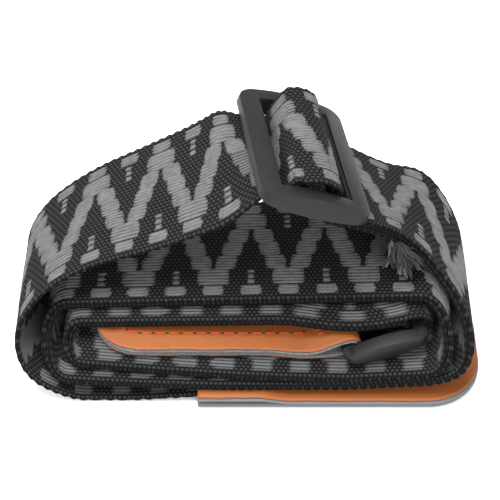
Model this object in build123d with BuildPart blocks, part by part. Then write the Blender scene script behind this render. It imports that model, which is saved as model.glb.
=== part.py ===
"""Guitar strap, wound into a flattened coil for storage.

Origin: middle of the footprint, at the height of the surface the coil lies on.
+X runs along the coil's length, +Y from its open front side to its back, +Z up.
Millimetres.
"""

import os
from math import cos, radians, tan

from build123d import *

os.makedirs("parts", exist_ok=True)

# Webbing
WEB_WIDTH = 50.0
WEB_THICK = 1.7
PLY_PITCH = 2.0  # from the middle of one ply to the middle of the next
BEND_STEPS = 10  # flats that round one bend

# The coil leans back: the lowest plies lie furthest forward.
FRONT_LOW = 3.0  # front edge of the lowest ply
LEAN_BACK = 29.0  # how much further back the highest ply lies
LEAN_HEIGHT = 29.0  # the height over which the pairs move back
SINGLE_LEAN_HEIGHT = 46.0  # the same, for the outermost single ply
ARCH_BASE = 34.4  # everything above this height belongs to the arch
CENTRE_X = -0.147  # taken off every X and Y at the end, so that the origin is in the middle
CENTRE_Y = 46.54

# Levels of the doubled plies, taken midway between the two plies of a pair
LOW_OUTER = 8.05
LOW_INNER = 12.05
TOP_INNER_LEFT = 20.45
TOP_INNER_RIGHT = 28.4
TOP_INNER_SLOPE = 0.0605
LEFT_INNER_X = -62.0
LEFT_OUTER_X = -66.0
RIGHT_X = 61.8

# Slider: a three-bar frame on the crest of the arch
SLIDER_AT = (18.5, 59.5, 70.5)
SLIDER_PITCH = -8.0  # front end higher
SLIDER_TILT = 22.0  # right side lower
SLIDER_YAW = 5.0
SLIDER_LONG = 65.0
SLIDER_SHORT = 41.0
SLIDER_BAR = 8.0
SLIDER_WINDOW = 53.0
SLIDER_DEPTH = 8.0
CENTRE_BAR = (3.8, 3.4)

# Ring: a plain rectangular frame between the ring tab and the webbing
RING_AT = (43.0, 40.3, 20.8)
RING_TILT = -10.0  # right side higher
RING_YAW = 12.0
RING_LONG = 63.5
RING_SHORT = 31.0
RING_WINDOW = 53.0
RING_BAR = (4.4, 3.0)
RING_DEPTH = 7.4

# Ring tab: one strip of leather and felt, folded round the ring's left bar
TAB_WIDTH = 50.0
TAB_TIP_X = -57.0
TAB_MIDDLE_Y = 37.6
TAB_CORNER = 17.0  # radius of the tip's corners
LEATHER_THICK = 0.9
FELT_THICK = 1.1
FOLD_LOW = 15.25  # middle of the lower layer
FOLD_HIGH = 17.45  # middle of the upper layer

# End tab, flat under the coil
END_LEFT_X = -19.0
END_RIGHT_X = 84.7
END_WIDTH = 56.0
END_CORNER = 20.0
UNDERLAY_THICK = 1.8
END_FELT = 1.2
END_LEATHER = 1.2
GAP = 0.05
WEB_END_X = 5.0  # how far the webbing reaches between the tab's layers
STEP_END_X = 14.0  # where the upper layers have come down onto the underlay
BUTTON_HOLE_R = 3.75
BUTTON_HOLE_X = 62.0
BUTTON_SLIT = (14.0, 1.2)

# Stitching
STITCH_PITCH = 5.0
STITCH = (3.8, 0.7, 0.45)
STITCH_INSET = 7.5


def ease(value, low, high):
    """0 below low, 1 above high, smooth between them."""
    t = min(1.0, max(0.0, (value - low) / (high - low)))
    return t * t * (3 - 2 * t)


def near_ring(x, z):
    """1 at the ring's right bar, easing to 0 back along the innermost pair, and 0 elsewhere."""
    if x < ring_bar.X - 1:
        level = TOP_INNER_LEFT + TOP_INNER_SLOPE * (x - LEFT_INNER_X)
        return ease(x, 10, ring_bar.X - 8) if 17 < z < level + PLY_PITCH else 0
    return 1 - ease(((x - ring_bar.X) ** 2 + (z - ring_bar.Z) ** 2) ** 0.5, 6.4, 8.0)


def front_of_pair(x, z):
    """Front edge of a doubled ply."""
    height = z - 0.085 * (x + 60)
    front = FRONT_LOW + LEAN_BACK * ease(height, 3, 3 + LEAN_HEIGHT) + slider_drift(x, z)
    at_ring = near_ring(x, z)
    in_ring = ring_bar.Y + (x - ring_bar.X) * tan(radians(RING_YAW)) - WEB_WIDTH / 2
    return front * (1 - at_ring) + in_ring * at_ring


def front_of_single(x, z):
    """Front edge of the outermost single ply."""
    return FRONT_LOW + LEAN_BACK * ease(z, 0, SINGLE_LEAN_HEIGHT) + slider_drift(x, z)


def slider_drift(x, z):
    """The webbing crosses the slider at a small angle, towards the back."""
    return 4 * ease(x, -10, 50) * ease(z, 34, 44)


def ruling(x, z):
    """Direction across the webbing at a place on the arch, which twists through the slider."""
    if z < ARCH_BASE:
        return Vector(0, 1, 0).rotate(Axis.Z, RING_YAW * near_ring(x, z))
    roll = 11 * ease(x, -75, -12) - 19 * ease(x, -12, 3) - 5 * ease(x, 34, 50) + 13 * ease(x, 52, 71)
    normal = slider_plane.z_dir
    over_slider = (x - SLIDER_AT[0]) * normal.X + (z - SLIDER_AT[2]) * normal.Z
    roll += 8 * ease(over_slider, 4.6, 9.5)
    yaw = 8 * ease(x, -25, 3) - 8 * ease(x, 34, 62)
    return Vector(0, 1, 0).rotate(Axis.X, roll).rotate(Axis.Z, yaw)


def ring_ruling(x, z):
    """Direction across a strip that turns to lie square in the ring."""
    return Vector(0, 1, 0).rotate(Axis.Z, RING_YAW * ease(x, 6, 26))


def along(*edges):
    """Places along a chain of edges in the XZ plane: ends of a line, and steps along a curve."""
    places = []
    for edge in edges:
        steps = 1 if edge.geom_type == GeomType.LINE else BEND_STEPS
        places += [edge @ (i / steps) for i in range(steps)]
    places.append(edges[-1] @ 1)
    return [(place.X, place.Z) for place in places]


def steps_along(edge, count):
    """Places at count equal steps along one edge in the XZ plane."""
    return [((edge @ (i / count)).X, (edge @ (i / count)).Z) for i in range(count + 1)]


def headings(places):
    """Unit direction at each place, midway between the stretches before and after it."""
    found = []
    for i in range(len(places)):
        before = places[max(i - 1, 0)]
        after = places[min(i + 1, len(places) - 1)]
        found.append(Vector(after[0] - before[0], 0, after[1] - before[1]).normalized())
    return found


def beside(places, distance):
    """The same chain, moved sideways to its left by distance."""
    moved = []
    for place, heading in zip(places, headings(places)):
        moved.append((place[0] - heading.Z * distance, place[1] + heading.X * distance))
    return moved


def sections_of(places, guides, front, across, width=WEB_WIDTH, thick=WEB_THICK, narrower=None):
    """The four corners of a strip at each place. Strips that lie against one another share their
    guides, where the lean and the direction across are read, so they stay parallel; narrower
    gives how much less wide a strip is."""
    sections = []
    for (x, z), guide, heading in zip(places, guides, headings(places)):
        middle = Vector(x, front(*guide) + width / 2, z)
        side = across(*guide) * (width / 2 - (narrower(x) if narrower else 0))
        up = Vector(-heading.Z, 0, heading.X) * (thick / 2)
        sections.append([middle + side + up, middle - side + up, middle - side - up, middle + side - up])
    return sections


def closed_shell(sections):
    """A solid through the sections. Where it twists, each side is two triangles, split the same
    way above and below so that plies on one another stay apart."""
    outlines = [sections[0], sections[-1]]
    for near, far in zip(sections, sections[1:]):
        for i in range(4):
            j = (i + 1) % 4
            square = (near[j] - near[i]).cross(far[i] - near[i]).normalized()
            if abs(square.dot(far[j] - near[i])) < 1e-7:
                outlines.append([near[i], near[j], far[j], far[i]])
            elif i < 2:
                outlines += [[near[i], near[j], far[j]], [near[i], far[j], far[i]]]
            else:
                outlines += [[near[i], near[j], far[i]], [near[j], far[j], far[i]]]
    with BuildPart() as piece:
        add(Solid(Shell([Face(Wire.make_polygon(outline)) for outline in outlines])))
    return piece.part


def level_at(places, x):
    """Height at x of a chain that runs to the right."""
    for (x1, z1), (x2, z2) in zip(places, places[1:]):
        if x1 <= x <= x2:
            return z1 + (z2 - z1) * (x - x1) / (x2 - x1)


def finish(part, name):
    part = part.moved(Location((-CENTRE_X, -CENTRE_Y, 0)))
    part.label = name
    export_step(part, f"parts/{name}.step")


def frame_of(at, pitch, tilt, yaw):
    """The plane of a tilted rectangular frame: its X runs across the bars, its Y along them."""
    short = Vector(1, 0, 0).rotate(Axis.Y, tilt).rotate(Axis.Z, yaw)
    long = Vector(0, 1, 0).rotate(Axis.X, pitch).rotate(Axis.Y, tilt).rotate(Axis.Z, yaw)
    return Plane(origin=at, x_dir=short, z_dir=short.cross(long))


slider_plane = frame_of(SLIDER_AT, SLIDER_PITCH, SLIDER_TILT, SLIDER_YAW)
ring_plane = frame_of(RING_AT, 0, RING_TILT, RING_YAW)
ring_bar = ring_plane.from_local_coords(Vector(RING_SHORT / 2 - RING_BAR[0] / 2, 0, 0))


def in_slider(*places):
    """Places across the slider, given from its middle, as places in the XZ plane."""
    found = []
    for across, up in places:
        point = slider_plane.from_local_coords(Vector(across, 0, up))
        found.append(Vector(point.X, 0, point.Z))
    return found


# %% Outermost single ply: from the end tab, round the left end and up the arch
with BuildLine() as single_line:
    under = Line((WEB_END_X, 0, 2.7), (END_LEFT_X, 0, 2.7))
    down = Line(under @ 1, (-42, 0, 0.95))
    floor = Line(down @ 1, (-60, 0, 0.95))
    arch = Spline(
        floor @ 1,
        (-71, 0, 4.5),
        (-82.3, 0, 13.2),
        (-84.1, 0, 21),
        (-79.5, 0, 28.5),
        (-67, 0, 37.2),
        (-50, 0, 45.5),
        (-31, 0, 54.6),
        (-14, 0, 64.2),
        in_slider((-17, -5.2))[0],
        tangents=[(-1, 0, 0.05), (1, 0, 0.3)],
    )
with BuildLine() as hump_line:
    hump = Spline(
        *in_slider(
            (-17, -5.2),
            (-13, -5.4),
            (-10.2, -4.4),
            (-8.9, -2.0),
            (-8.7, 1.5),
            (-8.1, 5.5),
            (-5, 9.2),
            (0, 10.5),
            (5, 9.2),
            (8.1, 5.5),
            (8.7, 1.5),
            (9.0, -2.2),
            (10.4, -4.6),
            (13, -5.6),
            (17, -6.2),
        ),
        tangents=[(1, 0, 0.3), (1, 0, -0.5)],
    )
arch_places = steps_along(arch, 28)
single_places = along(under, down, floor)[:-1] + arch_places
hump_places = steps_along(hump, 20)

# %% Doubled plies: from the arch inwards to the ring, as the line midway between the two
hump_end = in_slider((17, -6.2))[0]
pair_start = (hump_end.X - 0.45, 0, hump_end.Z - 0.89)
with BuildLine() as pair_line:
    shoulder = Spline(
        pair_start,
        (46, 0, 49.8),
        (57, 0, 43.6),
        (67, 0, 38.2),
        (75, 0, 31.5),
        (78.4, 0, 24.5),
        (75.7, 0, 17),
        (68.8, 0, 11.7),
        (58, 0, 9.9),
        tangents=[(1, 0, -0.5), (-1, 0, -0.09)],
    )
    ramp_outer = Line(shoulder @ 1, (34, 0, LOW_OUTER))
    low_outer = Line(ramp_outer @ 1, (LEFT_OUTER_X, 0, LOW_OUTER))
    top_outer_left = TOP_INNER_LEFT + 2 * PLY_PITCH
    left_outer = ThreePointArc(
        low_outer @ 1,
        (LEFT_OUTER_X - (top_outer_left - LOW_OUTER) / 2, 0, (top_outer_left + LOW_OUTER) / 2),
        (LEFT_OUTER_X, 0, top_outer_left),
    )
    top_outer_right = TOP_INNER_RIGHT + 2 * PLY_PITCH
    top_outer = Line(left_outer @ 1, (RIGHT_X, 0, top_outer_right))
    ramp_end = 14.15
    right_inner = ThreePointArc(
        top_outer @ 1,
        (RIGHT_X + (top_outer_right - ramp_end) / 2, 0, (top_outer_right + ramp_end) / 2),
        (RIGHT_X, 0, ramp_end),
    )
    ramp_inner = Line(right_inner @ 1, (35, 0, LOW_INNER))
    low_inner = Line(ramp_inner @ 1, (LEFT_INNER_X, 0, LOW_INNER))
    left_inner = ThreePointArc(
        low_inner @ 1,
        (LEFT_INNER_X - (TOP_INNER_LEFT - LOW_INNER) / 2, 0, (TOP_INNER_LEFT + LOW_INNER) / 2),
        (LEFT_INNER_X, 0, TOP_INNER_LEFT),
    )
    turn_x = ring_bar.X - 8
    turn_z = TOP_INNER_LEFT + TOP_INNER_SLOPE * (turn_x - LEFT_INNER_X)
    top_inner = Line(left_inner @ 1, (turn_x, 0, turn_z))

pair_places = steps_along(shoulder, 22)[:-1] + along(
    ramp_outer,
    low_outer,
    left_outer,
    top_outer,
    right_inner,
    ramp_inner,
    low_inner,
    left_inner,
    top_inner,
)

# The outer ply goes round the ring's right bar, and comes back as the inner ply.
with BuildLine() as ring_turn_line:
    ring_turn = Spline(
        (turn_x - 0.066, 0, turn_z + PLY_PITCH / 2),
        (ring_bar.X - 0.5, 0, ring_bar.Z + 5.6),
        (ring_bar.X + 3.7, 0, ring_bar.Z + 3.3),
        (ring_bar.X + 4.6, 0, ring_bar.Z),
        (ring_bar.X + 2.5, 0, ring_bar.Z - 3.3),
        (ring_bar.X - 1.6, 0, ring_bar.Z - 3.7),
        (ring_bar.X - 4.4, 0, ring_bar.Z - 1.2),
        tangents=[(1, 0, 0.07), (0, 0, 1)],
    )
    inner_start = Spline(
        (ring_bar.X - 4.4, 0, ring_bar.Z - 1.2),
        (ring_bar.X - 5.0, 0, ring_bar.Z + 1.8),
        (turn_x + 0.066, 0, turn_z - PLY_PITCH / 2),
        tangents=[(0, 0, 1), (-1, 0, -0.07)],
    )
    lead = Spline(
        (pair_start[0] - 0.45, 0, pair_start[2] - 0.89),
        *in_slider((11, -8.2), (7.4, -7.1)),
        tangents=[(-1, 0, 0.5), (-1, 0, 0.9)],
    )
outer_places = beside(pair_places, PLY_PITCH / 2)[:-1] + steps_along(ring_turn, 16)
inner_places = steps_along(inner_start, 6)[:-1]
inner_places += list(reversed(beside(pair_places, -PLY_PITCH / 2)))[:-1] + steps_along(lead, 5)

# One chain, cut into its runs where they meet
chain = single_places[:-1] + hump_places[:-1] + outer_places[:-1] + inner_places
start_guides = single_places[:-1] + hump_places[:-1]
ring_guides = steps_along(ring_turn, 16)[:-1] + steps_along(inner_start, 6)[:-1]
pair_back = list(reversed(pair_places))
guides = start_guides + pair_places[:-1] + ring_guides + pair_back[:-1] + steps_along(lead, 5)
at_slider = len(single_places) - 1
past_slider = at_slider + len(hump_places) - 1
at_ring_bar = past_slider + len(outer_places) - 1
single_sections = sections_of(chain, guides, front_of_single, ruling)
sections = sections_of(chain, guides, front_of_pair, ruling)
finish(closed_shell(single_sections[: at_slider + 1]), "webbing_single_run")
finish(closed_shell(sections[at_slider : past_slider + 1]), "webbing_slider_pass")
finish(closed_shell(sections[past_slider : at_ring_bar + 1]), "webbing_outer_ply")
inner_sections = [section[::-1] for section in reversed(sections[at_ring_bar:])]
finish(closed_shell(inner_sections), "webbing_inner_ply")

# %% The tail: round the slider's centre bar, folded back and sewn, with a raw end
with BuildLine() as loop_line:
    loop = Spline(
        *in_slider(
            (6.0, -5.0),
            (4.6, -2.6),
            (4.0, 0),
            (3.0, 2.5),
            (0, 3.4),
            (-3.0, 2.5),
            (-4.0, 0),
            (-3.2, -2.6),
            (0, -3.6),
            (3.0, -5.0),
            (4.5, -7.0),
        )
    )
loop_places = steps_along(loop, 20)
loop_sections = sections_of(loop_places, loop_places, front_of_pair, ruling)
finish(closed_shell(loop_sections), "webbing_tail_loop")

TAIL_PLACES = 8  # places along the arch that the folded-back end reaches
folded_back = beside(pair_places, -1.53 * PLY_PITCH)
with BuildLine() as tail_lead_line:
    tail_lead = Spline(
        *in_slider((5.6, -9.0), (9.5, -10.6)),
        (folded_back[0][0], 0, folded_back[0][1]),
        tangents=[(1, 0, -1), (1, 0, -0.5)],
    )
tail_places = steps_along(tail_lead, 5)[:-1] + folded_back[:TAIL_PLACES]
tail_guides = steps_along(tail_lead, 5)[:-1] + pair_places[:TAIL_PLACES]
tail_sections = sections_of(tail_places, tail_guides, front_of_pair, ruling)
finish(closed_shell(tail_sections), "webbing_tail_end")

# Two rows of bar-tack stitches through the folded-back end, on its underside
with BuildPart() as tail_stitching:
    under_tail = beside(pair_places, -1.53 * PLY_PITCH - WEB_THICK / 2 - 0.3)
    for row in (2, 4):
        across = ruling(*pair_places[row])
        heading = headings(under_tail)[row]
        x, z = under_tail[row]
        middle = Vector(x, front_of_pair(*pair_places[row]) + WEB_WIDTH / 2, z)
        square = Plane(origin=middle, x_dir=across, z_dir=across.cross(heading))
        with Locations(square):
            with GridLocations(4.0, 1, 11, 1):
                Box(2.6, 1.0, STITCH[2])
finish(tail_stitching.part, "tail_stitching")

# %% Slider
with BuildPart() as slider:
    with BuildSketch(slider_plane.offset(-SLIDER_DEPTH / 2)):
        RectangleRounded(SLIDER_SHORT, SLIDER_LONG, 5)
        window = (SLIDER_SHORT - 2 * SLIDER_BAR - CENTRE_BAR[0]) / 2
        with GridLocations(window + CENTRE_BAR[0], 1, 2, 1):
            RectangleRounded(window, SLIDER_WINDOW, 1.5, mode=Mode.SUBTRACT)
    extrude(amount=SLIDER_DEPTH)
    # The end bars are deepest in the middle and thin towards the side bars.
    side = Plane(origin=slider_plane.origin, x_dir=slider_plane.x_dir, z_dir=-slider_plane.y_dir)
    with BuildSketch(side.offset(-SLIDER_LONG / 2)):
        with BuildLine():
            half = SLIDER_SHORT / 2
            upper = ThreePointArc((-half, 1.2), (0, SLIDER_DEPTH / 2), (half, 1.2))
            lower = ThreePointArc((half, -2.0), (0, -SLIDER_DEPTH / 2), (-half, -2.0))
            Line(upper @ 1, lower @ 0)
            Line(lower @ 1, upper @ 0)
        make_face()
    extrude(amount=SLIDER_LONG, mode=Mode.INTERSECT)
    # Only the end bars keep the full depth: the bars between them are flat.
    for below in (False, True):
        level = -CENTRE_BAR[1] / 2 - SLIDER_DEPTH if below else CENTRE_BAR[1] / 2
        with BuildSketch(slider_plane.offset(level)):
            Rectangle(SLIDER_SHORT - 2 * SLIDER_BAR + 2, SLIDER_WINDOW)
        extrude(amount=SLIDER_DEPTH, mode=Mode.SUBTRACT)
finish(slider.part, "slider_frame")

# %% Ring
with BuildPart() as ring:
    with BuildSketch(ring_plane.offset(-RING_DEPTH / 2)):
        RectangleRounded(RING_SHORT, RING_LONG, 4)
        RectangleRounded(RING_SHORT - 2 * RING_BAR[0], RING_WINDOW, 1, mode=Mode.SUBTRACT)
    extrude(amount=RING_DEPTH)
    side = Plane(origin=ring_plane.origin, x_dir=ring_plane.x_dir, z_dir=-ring_plane.y_dir)
    with BuildSketch(side.offset(-RING_LONG / 2)):
        with BuildLine():
            half = RING_SHORT / 2
            upper = ThreePointArc((-half, 0.9), (0, RING_DEPTH / 2), (half, 0.9))
            lower = ThreePointArc((half, -0.9), (0, -RING_DEPTH / 2), (-half, -0.9))
            Line(upper @ 1, lower @ 0)
            Line(lower @ 1, upper @ 0)
        make_face()
    extrude(amount=RING_LONG, mode=Mode.INTERSECT)
    for below in (False, True):
        level = -RING_BAR[1] / 2 - RING_DEPTH if below else RING_BAR[1] / 2
        with BuildSketch(ring_plane.offset(level)):
            Rectangle(RING_SHORT + 2, RING_WINDOW)
        extrude(amount=RING_DEPTH, mode=Mode.SUBTRACT)
finish(ring.part, "ring_frame")

# %% Ring tab: leather outside, felt inside, folded round the ring's left bar
left_bar = ring_plane.from_local_coords(Vector(RING_BAR[0] / 2 - RING_SHORT / 2, 0, 0))
with BuildLine() as fold_line:
    fold = Spline(
        (left_bar.X - 14, 0, FOLD_HIGH),
        (left_bar.X - 5.5, 0, left_bar.Z + 2.1),
        (left_bar.X, 0, left_bar.Z + 3.4),
        (left_bar.X + 3.0, 0, left_bar.Z + 2.6),
        (left_bar.X + 4.1, 0, left_bar.Z),
        (left_bar.X + 3.0, 0, left_bar.Z - 2.5),
        (left_bar.X, 0, left_bar.Z - 3.3),
        (left_bar.X - 7, 0, FOLD_LOW),
        tangents=[(1, 0, 0), (-1, 0, 0)],
    )
tip_steps = [TAB_TIP_X + TAB_CORNER * (1 - cos(radians(15 * i))) for i in range(7)]
fold_places = [(x, FOLD_HIGH) for x in tip_steps] + steps_along(fold, 24)
fold_places += [(x, FOLD_LOW) for x in reversed(tip_steps)]


def tab_front(x, z):
    """Front edge of the ring tab, which turns with the ring near it."""
    turned = (x - left_bar.X) * tan(radians(RING_YAW)) * ease(x, 6, 26)
    return TAB_MIDDLE_Y + turned - TAB_WIDTH / 2


def tip_rounding(x):
    """The ring tab's tip is rounded: how far each side has come in."""
    inside = max(0.0, TAB_TIP_X + TAB_CORNER - x)
    return TAB_CORNER - (TAB_CORNER**2 - inside**2) ** 0.5


leather_places = beside(fold_places, 0.6)
felt_places = beside(fold_places, -0.45)
leather_sections = sections_of(
    leather_places, fold_places, tab_front, ring_ruling, TAB_WIDTH, LEATHER_THICK, tip_rounding
)
finish(closed_shell(leather_sections), "ring_tab_leather")
felt_sections = sections_of(
    felt_places, fold_places, tab_front, ring_ruling, TAB_WIDTH, FELT_THICK, tip_rounding
)
finish(closed_shell(felt_sections), "ring_tab_felt")

# Stitches lie on the leather, clear of it by a hair
ABOVE = LEATHER_THICK / 2 + GAP + STITCH[2] / 2
with BuildPart() as ring_tab_stitching:
    with BuildLine(mode=Mode.PRIVATE) as ring_tab_seam:
        near = TAB_MIDDLE_Y - TAB_WIDTH / 2 + STITCH_INSET
        far = TAB_MIDDLE_Y + TAB_WIDTH / 2 - STITCH_INSET
        end = TAB_TIP_X + STITCH_INSET
        FilletPolyline((15, near), (end, near), (end, far), (15, far), radius=10)
    seam = ring_tab_seam.wires()[0]
    count = int(seam.length / STITCH_PITCH)
    for i in range(count):
        place = seam @ ((i + 0.5) / count)
        turn = Vector(1, 0, 0).get_signed_angle(seam % ((i + 0.5) / count), Vector(0, 0, 1))
        level = level_at(leather_places, place.X) + ABOVE
        with Locations(Location((place.X, place.Y, level), (0, 0, turn))):
            Box(*STITCH)
finish(ring_tab_stitching.part, "ring_tab_stitching")

with BuildPart() as ring_tab_bar_tack:
    tack_x = left_bar.X - 8
    rise = level_at(leather_places, tack_x + 1) - level_at(leather_places, tack_x)
    across = ring_ruling(tack_x, 0)
    middle = Vector(
        tack_x,
        tab_front(tack_x, 0) + TAB_WIDTH / 2,
        level_at(leather_places, tack_x) + ABOVE + 0.15,
    )
    square = Plane(origin=middle, x_dir=across, z_dir=across.cross(Vector(1, 0, rise)) * -1)
    with Locations(square):
        with GridLocations(4.0, 1, 9, 1):
            Box(3.0, 1.2, STITCH[2])
finish(ring_tab_bar_tack.part, "ring_tab_bar_tack")

# %% End tab: felt underlay, then the webbing's end, then felt and leather
with BuildPart() as end_outline:
    with BuildSketch(Plane.XY):
        with Locations(((END_LEFT_X + END_RIGHT_X) / 2, END_WIDTH / 2)):
            Rectangle(END_RIGHT_X - END_LEFT_X, END_WIDTH)
        fillet(vertices().group_by(Axis.X)[-1], END_CORNER)
        fillet(vertices().group_by(Axis.X)[0], 4)
        with Locations((BUTTON_HOLE_X, END_WIDTH / 2)):
            Circle(BUTTON_HOLE_R, mode=Mode.SUBTRACT)
        with Locations((BUTTON_HOLE_X - BUTTON_SLIT[0] / 2, END_WIDTH / 2)):
            Rectangle(*BUTTON_SLIT, mode=Mode.SUBTRACT)
    extrude(amount=8)


def stepped_layer(bottom, thick, clear):
    """A layer that lies on the webbing's end and, clear of it, steps down onto the underlay."""
    low = bottom - WEB_THICK - GAP
    with BuildPart() as layer:
        with BuildSketch(Plane.XZ):
            with BuildLine():
                Polyline(
                    (END_LEFT_X, bottom),
                    (WEB_END_X + clear, bottom),
                    (STEP_END_X + clear, low),
                    (END_RIGHT_X, low),
                    (END_RIGHT_X, low + thick),
                    (STEP_END_X + clear + 0.3, low + thick),
                    (WEB_END_X + clear + 0.3, bottom + thick),
                    (END_LEFT_X, bottom + thick),
                    close=True,
                )
            make_face()
        extrude(amount=-END_WIDTH)
    return layer.part & end_outline.part


with BuildPart() as underlay_slab:
    with BuildSketch(Plane.XY):
        with Locations(((END_LEFT_X + END_RIGHT_X) / 2, END_WIDTH / 2)):
            Rectangle(END_RIGHT_X - END_LEFT_X, END_WIDTH)
    extrude(amount=UNDERLAY_THICK)
finish(underlay_slab.part & end_outline.part, "end_tab_underlay")
backing_bottom = UNDERLAY_THICK + WEB_THICK + 2 * GAP
finish(stepped_layer(backing_bottom, END_FELT, 0.4), "end_tab_backing")
leather_bottom = backing_bottom + END_FELT + GAP
finish(stepped_layer(leather_bottom, END_LEATHER, 0.8), "end_tab_leather")


def end_tab_top(x):
    """Height of the leather's upper face."""
    high = leather_bottom + END_LEATHER
    low = high - WEB_THICK - GAP
    t = min(1.0, max(0.0, (x - WEB_END_X) / (STEP_END_X - WEB_END_X)))
    return high + (low - high) * t


with BuildPart() as end_tab_stitching:
    with BuildLine(mode=Mode.PRIVATE) as end_tab_seam:
        far_side = END_WIDTH - STITCH_INSET
        end = END_RIGHT_X - STITCH_INSET
        FilletPolyline(
            (17, STITCH_INSET), (end, STITCH_INSET), (end, far_side), (17, far_side), radius=13
        )
    seam = end_tab_seam.wires()[0]
    count = int(seam.length / STITCH_PITCH)
    for i in range(count):
        place = seam @ ((i + 0.5) / count)
        turn = Vector(1, 0, 0).get_signed_angle(seam % ((i + 0.5) / count), Vector(0, 0, 1))
        level = end_tab_top(place.X) + GAP + STITCH[2] / 2
        with Locations(Location((place.X, place.Y, level), (0, 0, turn))):
            Box(*STITCH)
finish(end_tab_stitching.part, "end_tab_stitching")

print("slider axes", slider_plane.x_dir, slider_plane.y_dir, slider_plane.z_dir)
print("ring left bar", left_bar, "along", ring_plane.y_dir)
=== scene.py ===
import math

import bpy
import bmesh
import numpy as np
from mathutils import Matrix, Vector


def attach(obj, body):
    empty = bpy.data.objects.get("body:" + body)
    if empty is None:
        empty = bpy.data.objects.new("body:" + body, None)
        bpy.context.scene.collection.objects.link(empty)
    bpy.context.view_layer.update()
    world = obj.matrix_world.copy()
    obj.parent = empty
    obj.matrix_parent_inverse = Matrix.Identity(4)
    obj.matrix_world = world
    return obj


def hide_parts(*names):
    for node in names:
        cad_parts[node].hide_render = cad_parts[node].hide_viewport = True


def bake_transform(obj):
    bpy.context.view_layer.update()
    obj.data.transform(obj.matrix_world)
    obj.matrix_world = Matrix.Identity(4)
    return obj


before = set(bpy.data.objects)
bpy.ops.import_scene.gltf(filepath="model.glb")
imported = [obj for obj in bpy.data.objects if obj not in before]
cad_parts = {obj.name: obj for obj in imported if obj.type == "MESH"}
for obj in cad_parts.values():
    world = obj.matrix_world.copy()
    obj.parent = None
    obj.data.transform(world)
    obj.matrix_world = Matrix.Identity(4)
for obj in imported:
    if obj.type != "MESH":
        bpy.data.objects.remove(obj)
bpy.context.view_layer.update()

# %% [markdown]
# # A guitar strap, wound up for storage
# The strap is a long ribbon of woven webbing. We work out the line it follows in the coil, weave
# its pattern flat, and then lay the weave along the line. The two tabs, the slider and the ring
# come after that, and last the table, the light and the camera.
#
# Lengths are in millimetres until they are handed to Blender, which works in metres.

rng = np.random.default_rng(7)
CENTRE = np.array([-0.147, 46.54, 0.0])  # the design's own origin is the middle of the footprint

# %% [markdown]
# ## Small helpers
# `ease` runs smoothly from 0 to 1. `curve` draws a smooth line through a few points, which is how a
# springy ribbon lies between the places that hold it. `colour` turns a hex colour into the linear
# values the renderer works with.


# %% Helpers
def ease(value, low, high):
    t = np.clip((np.asarray(value, float) - low) / (high - low), 0, 1)
    return t * t * (3 - 2 * t)


def curve(points, start=None, end=None, step=0.5):
    p = np.array(points, float)
    h = np.linalg.norm(np.diff(p, axis=0), axis=1)
    n = len(p)
    system, rhs = np.zeros((n, n)), np.zeros((n, 2))
    system[0, 0] = system[-1, -1] = 1
    first, last = (p[1] - p[0] if start is None else start), (p[-1] - p[-2] if end is None else end)
    rhs[0] = np.array(first) / np.linalg.norm(first)
    rhs[-1] = np.array(last) / np.linalg.norm(last)
    for i in range(1, n - 1):
        system[i, i - 1 : i + 2] = h[i], 2 * (h[i - 1] + h[i]), h[i - 1]
        rhs[i] = 3 * (h[i - 1] * (p[i + 1] - p[i]) / h[i] + h[i] * (p[i] - p[i - 1]) / h[i - 1])
    slope = np.linalg.solve(system, rhs)
    found = []
    for i in range(n - 1):
        t = np.linspace(0, 1, max(2, int(h[i] / step) + 1))[:-1, None]
        found.append(
            (2 * t**3 - 3 * t**2 + 1) * p[i]
            + (t**3 - 2 * t**2 + t) * h[i] * slope[i]
            + (3 * t**2 - 2 * t**3) * p[i + 1]
            + (t**3 - t**2) * h[i] * slope[i + 1]
        )
    return np.vstack(found + [p[-1:]])


def straight(a, b, step=0.5):
    count = max(2, int(math.dist(a, b) / step) + 1)
    return np.linspace(a, b, count)


def half_turn(a, b, side, step=0.5):
    """Half a circle from a to b, one above the other, that bulges to side (+1 right, -1 left)."""
    middle, radius = (np.array(a) + b) / 2, (b[1] - a[1]) / 2
    t = np.linspace(-math.pi / 2, math.pi / 2, max(8, int(math.pi * abs(radius) / step)))
    return middle + np.stack([side * abs(radius) * np.cos(t), radius * np.sin(t)], 1)


def colour(code):
    parts = [int(code[i : i + 2], 16) / 255 for i in (1, 3, 5)]
    return [c / 12.92 if c <= 0.04045 else ((c + 0.055) / 1.055) ** 2.4 for c in parts] + [1]


# %% [markdown]
# ## The slider's and ring's own axes
# Both frames sit at an angle in the coil, and the webbing turns with them. `in_slider` turns a
# place measured from the slider's middle into a place in the coil.

# %% Axes
SLIDER_AT = np.array([18.5, 59.5, 70.5])
SLIDER_X = np.array([0.923656, 0.080809, -0.374607])
SLIDER_Z = np.array([0.35742, 0.170975, 0.918161])
RING_YAW = 12.0
RING_BAR = np.array([55.799, 43.023, 23.110])
LEFT_BAR = np.array([30.188, 37.577, 18.4905])

FRONT_LOW, LEAN_BACK = 3, 29  # front edge of the lowest ply, and how far back the highest lies
LEAN_FROM, LEAN_TO = 3, 32  # heights between which the pairs move back
SINGLE_LEAN_TO = 46  # the same for the outermost ply, from the table up
ARCH_BASE = 34.4  # everything above this height belongs to the arch
LEFT_INNER_X, LEFT_OUTER_X, COIL_RIGHT_X = -62, -66, 61.8
LOW_OUTER, LOW_INNER = 8.05, 12.05  # levels midway between the two plies of a pair
TOP_INNER_LEFT, TOP_OUTER_LEFT, TOP_SLOPE = 20.45, 24.45, 0.0605


def in_slider(*places):
    return [tuple((SLIDER_AT + SLIDER_X * a + SLIDER_Z * b)[[0, 2]]) for a, b in places]


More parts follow.
